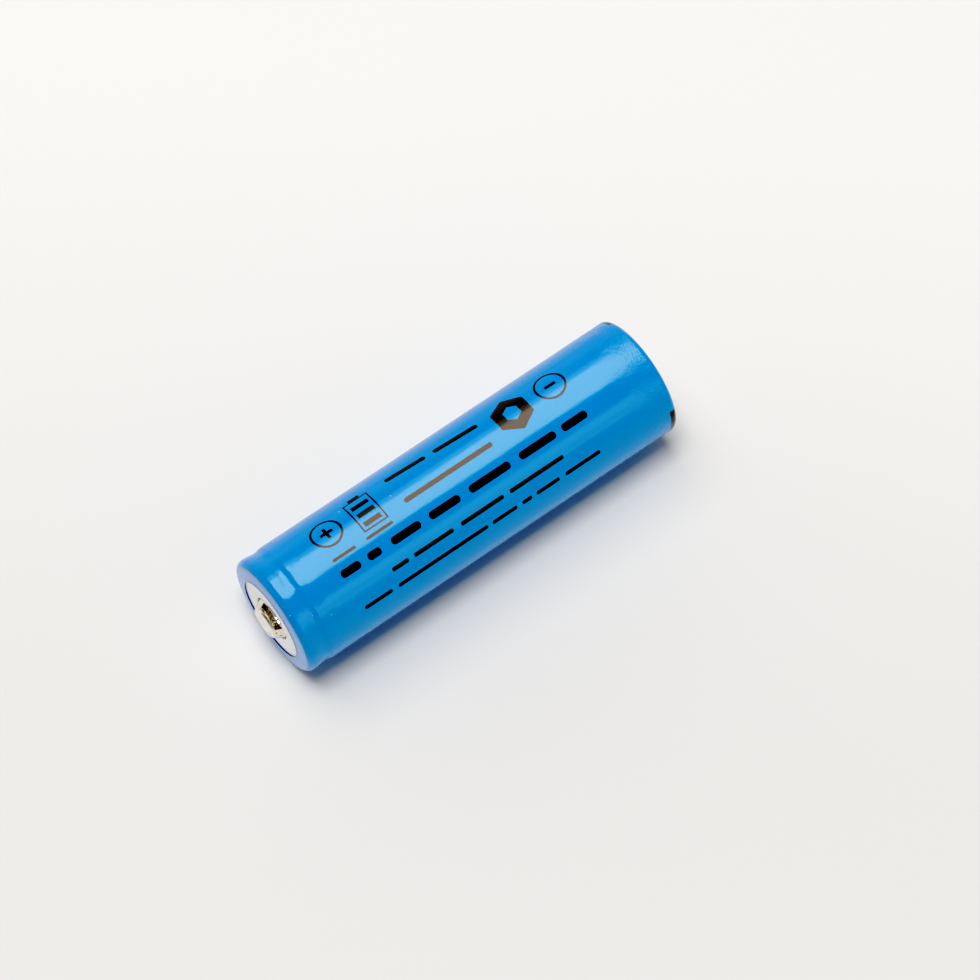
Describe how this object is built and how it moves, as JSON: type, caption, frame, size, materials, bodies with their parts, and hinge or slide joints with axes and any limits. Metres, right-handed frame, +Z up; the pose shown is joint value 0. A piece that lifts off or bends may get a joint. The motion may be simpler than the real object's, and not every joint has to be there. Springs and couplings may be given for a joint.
{
  "type": "cylindrical battery cell",
  "caption": "Cylindrical rechargeable cell with a glossy blue shrink sleeve, white top ring and raised vented positive button.",
  "frame": {"origin": "centre of the negative contact face, on the cell's axis", "axes": "+Y along the cell's axis, out of the negative end; the positive button points along -Y; +Z up, with the cell lying on its side"},
  "size_m": [0.0141, 0.0506, 0.014],
  "materials": {
    "sleeve_film": "glossy blue shrink film with fine dust and a soft haze",
    "print_ink": "black ink printed on the sleeve film",
    "washer_fibre": "white pressed fibre, matt",
    "can_steel": "drawn steel, nickel plated, fine turned marks",
    "gasket_plastic": "dark moulded polypropylene",
    "cap_nickel": "pressed steel, bright nickel plated, softly scuffed",
    "ptc_polymer": "carbon-filled polymer between thin metal faces",
    "vent_aluminium": "thin stamped aluminium",
    "contact_aluminium": "stamped aluminium",
    "insulator_plastic": "thin natural plastic",
    "tab_aluminium": "bare aluminium strip",
    "tab_nickel": "bare nickel strip",
    "tape_film": "amber insulating tape",
    "separator_film": "white microporous film",
    "cathode_coating": "dark oxide coating on foil",
    "anode_coating": "graphite coating on foil"
  },
  "bodies": {
    "cell": {"heat_shrink_sleeve": "sleeve_film", "top_insulating_washer": "washer_fibre", "can": "can_steel", "seal_gasket": "gasket_plastic", "positive_cap": "cap_nickel", "ptc_ring": "ptc_polymer", "vent_disc": "vent_aluminium", "cid_insulator": "insulator_plastic", "cid_contact_disc": "contact_aluminium", "positive_tab": "tab_aluminium", "positive_tab_tape": "tape_film", "upper_insulator": "insulator_plastic", "separator_inner": "separator_film", "cathode_sheet": "cathode_coating", "separator_outer": "separator_film", "anode_sheet": "anode_coating", "winding_tape": "tape_film", "negative_tab": "tab_nickel", "negative_tab_tape": "tape_film", "lower_insulator": "insulator_plastic"},
    "diaphragm": {"vent_diaphragm": "vent_aluminium"}
  },
  "joints": [
    {"name": "vent_diaphragm_snap", "type": "slide", "parent": "cell", "child": "diaphragm", "axis": [0, -1, 0], "range_m": [0, 0.0003]}
  ]
}
